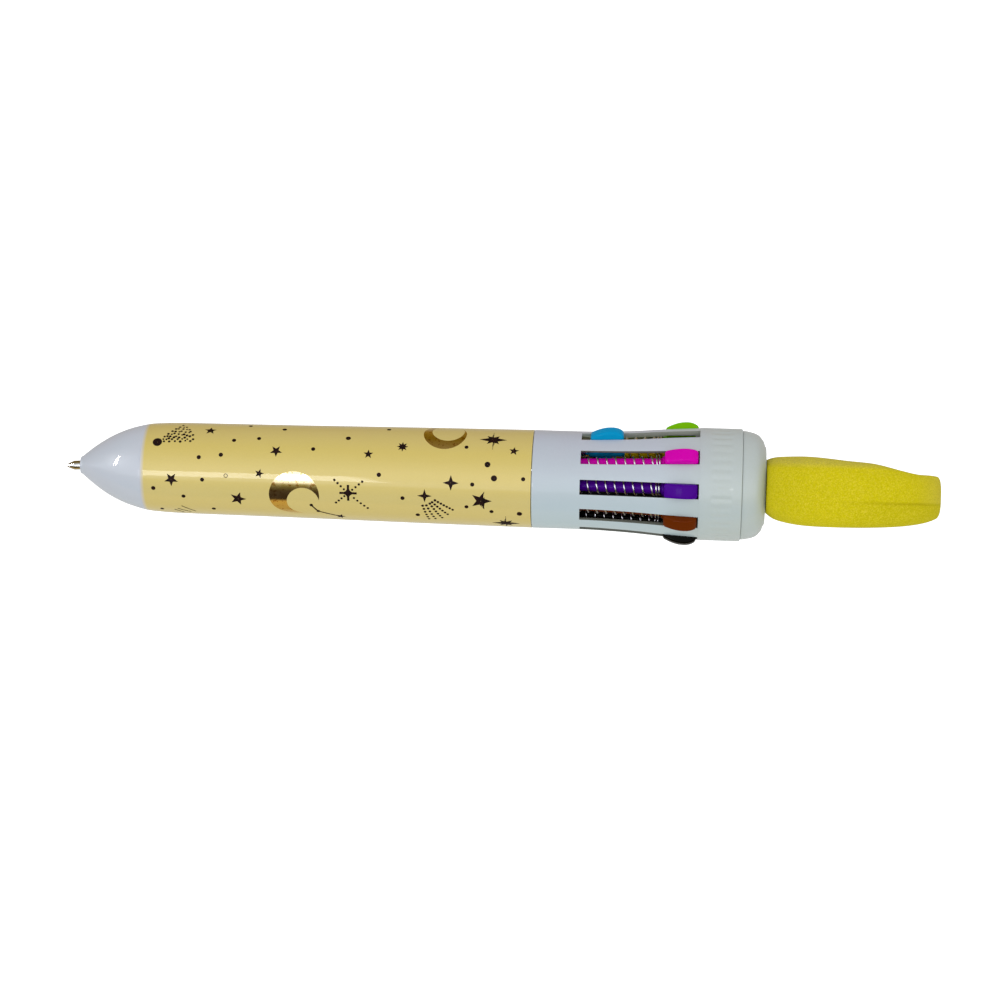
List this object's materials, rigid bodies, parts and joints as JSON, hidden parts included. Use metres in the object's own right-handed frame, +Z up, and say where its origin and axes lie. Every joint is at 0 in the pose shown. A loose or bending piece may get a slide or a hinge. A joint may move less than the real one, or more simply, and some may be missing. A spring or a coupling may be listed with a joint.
{
  "type": "multicolor click pen",
  "caption": "Slim cylindrical pen with coloured sliders in slots around a white rear housing, a patterned barrel, a pointed nose and a puffy crescent topper.",
  "frame": {"origin": "middle of the pen's overall length, on its axis", "axes": "+X from the writing tip to the topper; +Z up, through the thickness of the flat crescent topper; +Y away from the side first seen"},
  "size_m": [0.1522, 0.032, 0.0214],
  "materials": {
    "white_plastic": "smooth glossy injection-moulded white plastic",
    "printed_film": "glossy pale-yellow film print with dark and gold-foil moons and stars",
    "topper_yellow": "matte, fine-grained soft yellow rubber",
    "inner_plastic": "plain dark-grey moulded plastic",
    "spring_steel": "bright drawn wire",
    "tip_metal": "turned metal, bright",
    "tube_plastic": "translucent milky tube",
    "slider_green": "smooth glossy coloured plastic",
    "slider_blue": "smooth glossy coloured plastic",
    "slider_magenta": "smooth glossy coloured plastic",
    "slider_purple": "smooth glossy coloured plastic",
    "slider_brown": "smooth glossy coloured plastic",
    "slider_black": "smooth glossy coloured plastic",
    "slider_navy": "smooth glossy coloured plastic",
    "slider_red": "smooth glossy coloured plastic",
    "slider_orange": "smooth glossy coloured plastic",
    "slider_yellow": "smooth glossy coloured plastic"
  },
  "bodies": {
    "pen_rear": {"housing": "white_plastic", "guide_plate": "inner_plastic", "core_post": "inner_plastic", "ribbed_collar": "white_plastic", "end_cap": "white_plastic", "topper_peg": "inner_plastic", "topper": "topper_yellow", "spring_green": "spring_steel", "spring_blue": "spring_steel", "spring_magenta": "spring_steel", "spring_purple": "spring_steel", "spring_brown": "spring_steel", "spring_black": "spring_steel", "spring_navy": "spring_steel", "spring_red": "spring_steel", "spring_orange": "spring_steel", "spring_yellow": "spring_steel"},
    "front_barrel": {"barrel": "white_plastic", "printed_film": "printed_film"},
    "slide_green": {"slider_green": "slider_green"},
    "refill_green": {"refill_tube_green": "tube_plastic", "refill_tip_green": "tip_metal"},
    "slide_blue": {"slider_blue": "slider_blue"},
    "refill_blue": {"refill_tube_blue": "tube_plastic", "refill_tip_blue": "tip_metal"},
    "slide_magenta": {"slider_magenta": "slider_magenta"},
    "refill_magenta": {"refill_tube_magenta": "tube_plastic", "refill_tip_magenta": "tip_metal"},
    "slide_purple": {"slider_purple": "slider_purple"},
    "refill_purple": {"refill_tube_purple": "tube_plastic", "refill_tip_purple": "tip_metal"},
    "slide_brown": {"slider_brown": "slider_brown"},
    "refill_brown": {"refill_tube_brown": "tube_plastic", "refill_tip_brown": "tip_metal"},
    "slide_black": {"slider_black": "slider_black"},
    "refill_black": {"refill_tube_black": "tube_plastic", "refill_tip_black": "tip_metal"},
    "slide_navy": {"slider_navy": "slider_navy"},
    "refill_navy": {"refill_tube_navy": "tube_plastic", "refill_tip_navy": "tip_metal"},
    "slide_red": {"slider_red": "slider_red"},
    "refill_red": {"refill_tube_red": "tube_plastic", "refill_tip_red": "tip_metal"},
    "slide_orange": {"slider_orange": "slider_orange"},
    "refill_orange": {"refill_tube_orange": "tube_plastic", "refill_tip_orange": "tip_metal"},
    "slide_yellow": {"slider_yellow": "slider_yellow"},
    "refill_yellow": {"refill_tube_yellow": "tube_plastic", "refill_tip_yellow": "tip_metal"}
  },
  "joints": [
    {"name": "barrel_pull_off", "type": "slide", "parent": "pen_rear", "child": "front_barrel", "axis": [1, 0, 0], "range_m": [-0.09, 0]},
    {"name": "slide_green", "type": "slide", "parent": "pen_rear", "child": "slide_green", "axis": [-0.9981, -0.0104, -0.0602], "range_m": [0, 0.0129], "stiffness_N_per_m": 40, "springref_m": -0.003, "deforming": ["spring_green", "refill_tube_green", "refill_tip_green"]},
    {"name": "bend_green", "type": "hinge", "parent": "slide_green", "child": "refill_green", "pos_m": [0.00804, 0.00094, 0.00546], "axis": [0, -0.9854, 0.1702], "range_deg": [0, 3.2], "deforming": ["refill_tube_green", "refill_tip_green"]},
    {"name": "slide_blue", "type": "slide", "parent": "pen_rear", "child": "slide_blue", "axis": [-0.9981, 0.027, -0.0548], "range_m": [-0.0129, 0], "deforming": ["spring_blue", "refill_tube_blue", "refill_tip_blue"]},
    {"name": "bend_blue", "type": "hinge", "parent": "slide_blue", "child": "refill_blue", "pos_m": [-0.00484, -0.0021, 0.00426], "axis": [0, -0.8973, -0.4415], "range_deg": [-3.2, 0], "deforming": ["refill_tube_blue", "refill_tip_blue"]},
    {"name": "slide_magenta", "type": "slide", "parent": "pen_rear", "child": "slide_magenta", "axis": [-0.9981, 0.054, -0.0285], "range_m": [0, 0.0129], "stiffness_N_per_m": 40, "springref_m": -0.003, "deforming": ["spring_magenta", "refill_tube_magenta", "refill_tip_magenta"]},
    {"name": "bend_magenta", "type": "hinge", "parent": "slide_magenta", "child": "refill_magenta", "pos_m": [0.00804, -0.0049, 0.00258], "axis": [0, -0.4664, -0.8846], "range_deg": [0, 3.2], "deforming": ["refill_tube_magenta", "refill_tip_magenta"]},
    {"name": "slide_purple", "type": "slide", "parent": "pen_rear", "child": "slide_purple", "axis": [-0.9981, 0.0604, 0.0087], "range_m": [0, 0.0129], "stiffness_N_per_m": 40, "springref_m": -0.003, "deforming": ["spring_purple", "refill_tube_purple", "refill_tip_purple"]},
    {"name": "bend_purple", "type": "hinge", "parent": "slide_purple", "child": "refill_purple", "pos_m": [0.00804, -0.00548, -0.00079], "axis": [0, 0.1426, -0.9898], "range_deg": [0, 3.2], "deforming": ["refill_tube_purple", "refill_tip_purple"]},
    {"name": "slide_brown", "type": "slide", "parent": "pen_rear", "child": "slide_brown", "axis": [-0.9981, 0.0438, 0.0426], "range_m": [0, 0.0129], "stiffness_N_per_m": 40, "springref_m": -0.003, "deforming": ["spring_brown", "refill_tube_brown", "refill_tip_brown"]},
    {"name": "bend_brown", "type": "hinge", "parent": "slide_brown", "child": "refill_brown", "pos_m": [0.00804, -0.00397, -0.00386], "axis": [0, 0.6972, -0.7169], "range_deg": [0, 3.2], "deforming": ["refill_tube_brown", "refill_tip_brown"]},
    {"name": "slide_black", "type": "slide", "parent": "pen_rear", "child": "slide_black", "axis": [-0.9981, 0.0104, 0.0602], "range_m": [0, 0.0129], "stiffness_N_per_m": 40, "springref_m": -0.003, "deforming": ["spring_black", "refill_tube_black", "refill_tip_black"]},
    {"name": "bend_black", "type": "hinge", "parent": "slide_black", "child": "refill_black", "pos_m": [0.00804, -0.00094, -0.00546], "axis": [0, 0.9854, -0.1702], "range_deg": [0, 3.2], "deforming": ["refill_tube_black", "refill_tip_black"]},
    {"name": "slide_navy", "type": "slide", "parent": "pen_rear", "child": "slide_navy", "axis": [-0.9981, -0.027, 0.0548], "range_m": [0, 0.0129], "stiffness_N_per_m": 40, "springref_m": -0.003, "deforming": ["spring_navy", "refill_tube_navy", "refill_tip_navy"]},
    {"name": "bend_navy", "type": "hinge", "parent": "slide_navy", "child": "refill_navy", "pos_m": [0.00804, 0.00244, -0.00497], "axis": [0, 0.8973, 0.4415], "range_deg": [0, 3.2], "deforming": ["refill_tube_navy", "refill_tip_navy"]},
    {"name": "slide_red", "type": "slide", "parent": "pen_rear", "child": "slide_red", "axis": [-0.9981, -0.054, 0.0285], "range_m": [0, 0.0129], "stiffness_N_per_m": 40, "springref_m": -0.003, "deforming": ["spring_red", "refill_tube_red", "refill_tip_red"]},
    {"name": "bend_red", "type": "hinge", "parent": "slide_red", "child": "refill_red", "pos_m": [0.00804, 0.0049, -0.00258], "axis": [0, 0.4664, 0.8846], "range_deg": [0, 3.2], "deforming": ["refill_tube_red", "refill_tip_red"]},
    {"name": "slide_orange", "type": "slide", "parent": "pen_rear", "child": "slide_orange", "axis": [-0.9981, -0.0604, -0.0087], "range_m": [0, 0.0129], "stiffness_N_per_m": 40, "springref_m": -0.003, "deforming": ["spring_orange", "refill_tube_orange", "refill_tip_orange"]},
    {"name": "bend_orange", "type": "hinge", "parent": "slide_orange", "child": "refill_orange", "pos_m": [0.00804, 0.00548, 0.00079], "axis": [0, -0.1426, 0.9898], "range_deg": [0, 3.2], "deforming": ["refill_tube_orange", "refill_tip_orange"]},
    {"name": "slide_yellow", "type": "slide", "parent": "pen_rear", "child": "slide_yellow", "axis": [-0.9981, -0.0438, -0.0426], "range_m": [0, 0.0129], "stiffness_N_per_m": 40, "springref_m": -0.003, "deforming": ["spring_yellow", "refill_tube_yellow", "refill_tip_yellow"]},
    {"name": "bend_yellow", "type": "hinge", "parent": "slide_yellow", "child": "refill_yellow", "pos_m": [0.00804, 0.00397, 0.00386], "axis": [0, -0.6972, 0.7169], "range_deg": [0, 3.2], "deforming": ["refill_tube_yellow", "refill_tip_yellow"]}
  ],
  "couplings": [
    {"joint": "bend_green", "follows": "slide_green", "rad_per_m": 4.3174},
    {"joint": "bend_blue", "follows": "slide_blue", "rad_per_m": 4.3174},
    {"joint": "bend_magenta", "follows": "slide_magenta", "rad_per_m": 4.3174},
    {"joint": "bend_purple", "follows": "slide_purple", "rad_per_m": 4.3174},
    {"joint": "bend_brown", "follows": "slide_brown", "rad_per_m": 4.3174},
    {"joint": "bend_black", "follows": "slide_black", "rad_per_m": 4.3174},
    {"joint": "bend_navy", "follows": "slide_navy", "rad_per_m": 4.3174},
    {"joint": "bend_red", "follows": "slide_red", "rad_per_m": 4.3174},
    {"joint": "bend_orange", "follows": "slide_orange", "rad_per_m": 4.3174},
    {"joint": "bend_yellow", "follows": "slide_yellow", "rad_per_m": 4.3174}
  ]
}
